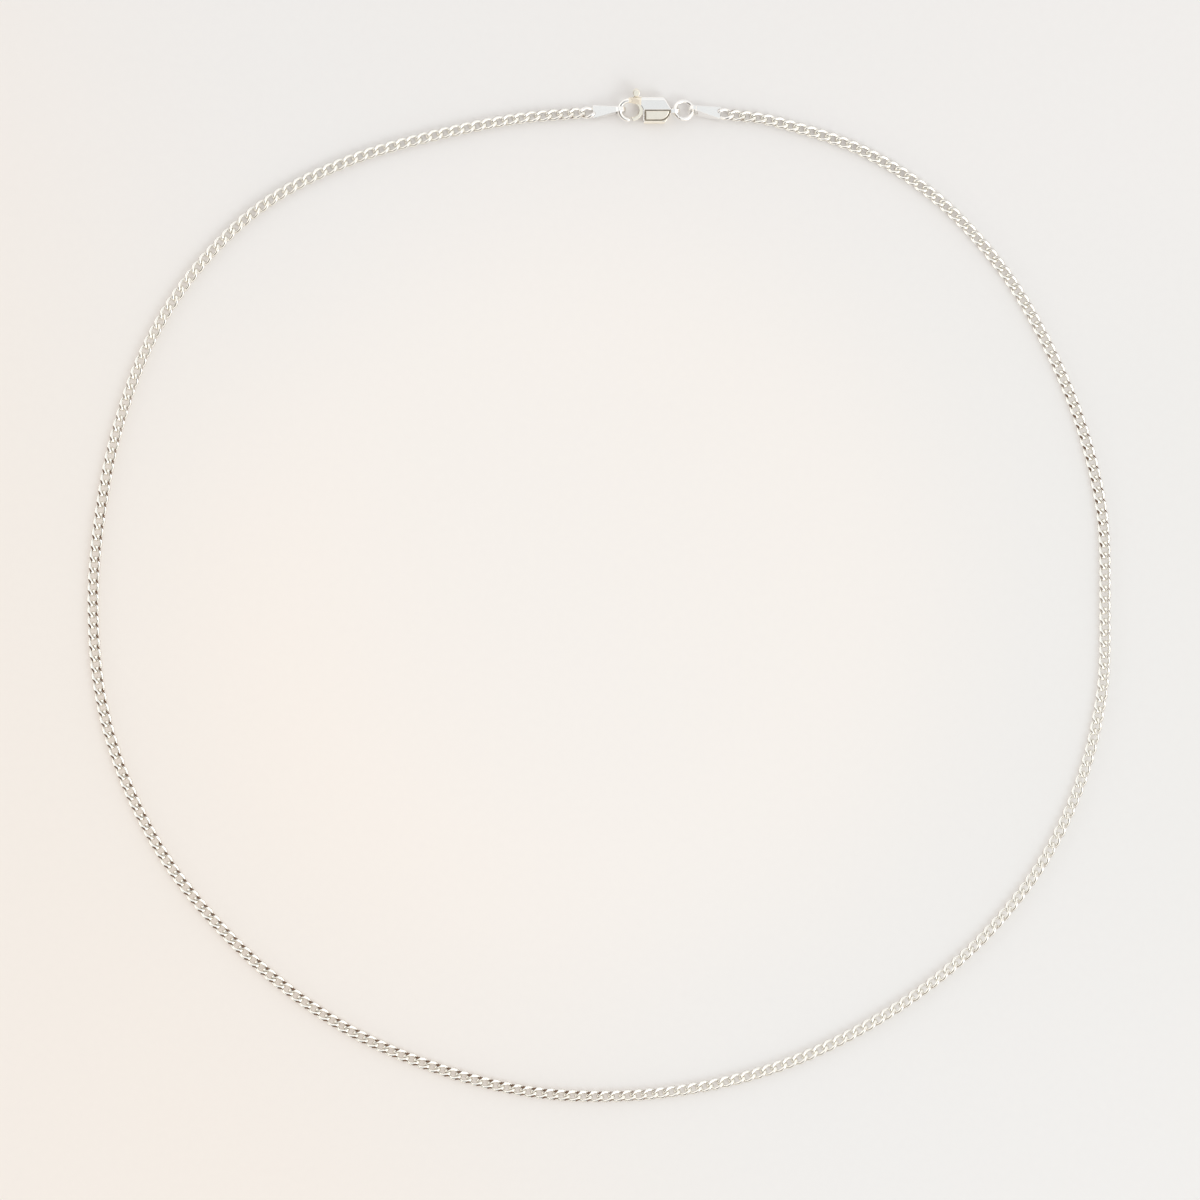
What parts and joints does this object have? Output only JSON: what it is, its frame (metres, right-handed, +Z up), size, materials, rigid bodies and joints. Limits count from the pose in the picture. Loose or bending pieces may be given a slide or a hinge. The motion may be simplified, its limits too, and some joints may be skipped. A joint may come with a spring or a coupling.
{
  "type": "curb chain necklace",
  "caption": "Fine silver curb chain necklace with a sprung claw clasp, a jump ring and tapered end tags, fastened and lying flat as a loop.",
  "frame": {"origin": "the middle of the fastened loop's box, on the surface that it lies on", "axes": "+X from one side of the neck to the other, +Y from the front of the chain towards the clasp, +Z up from the surface"},
  "size_m": [0.1474, 0.1457, 0.0026],
  "materials": {
    "chain_silver": "polished sterling silver wire, tumbled, with faint tarnish between the links",
    "tag_silver": "folded sterling silver tag, polished, with soft edges",
    "ring_silver": "polished sterling silver round wire",
    "clasp_silver": "cast sterling silver, polished, with faint casting waves"
  },
  "bodies": {
    "necklace": {"curb_chain": "chain_silver", "left_tag": "tag_silver", "right_tag": "tag_silver", "jump_ring": "ring_silver", "clasp_body": "clasp_silver", "clasp_rivet": "clasp_silver"},
    "lever": {"clasp_lever": "clasp_silver"}
  },
  "joints": [
    {"name": "trigger", "type": "hinge", "parent": "necklace", "child": "lever", "pos_m": [0.00772, 0.06998, 0.00128], "axis": [0, 0.2756, -0.9613], "range_deg": [0, 15], "stiffness_Nm_per_rad": 0.003}
  ]
}
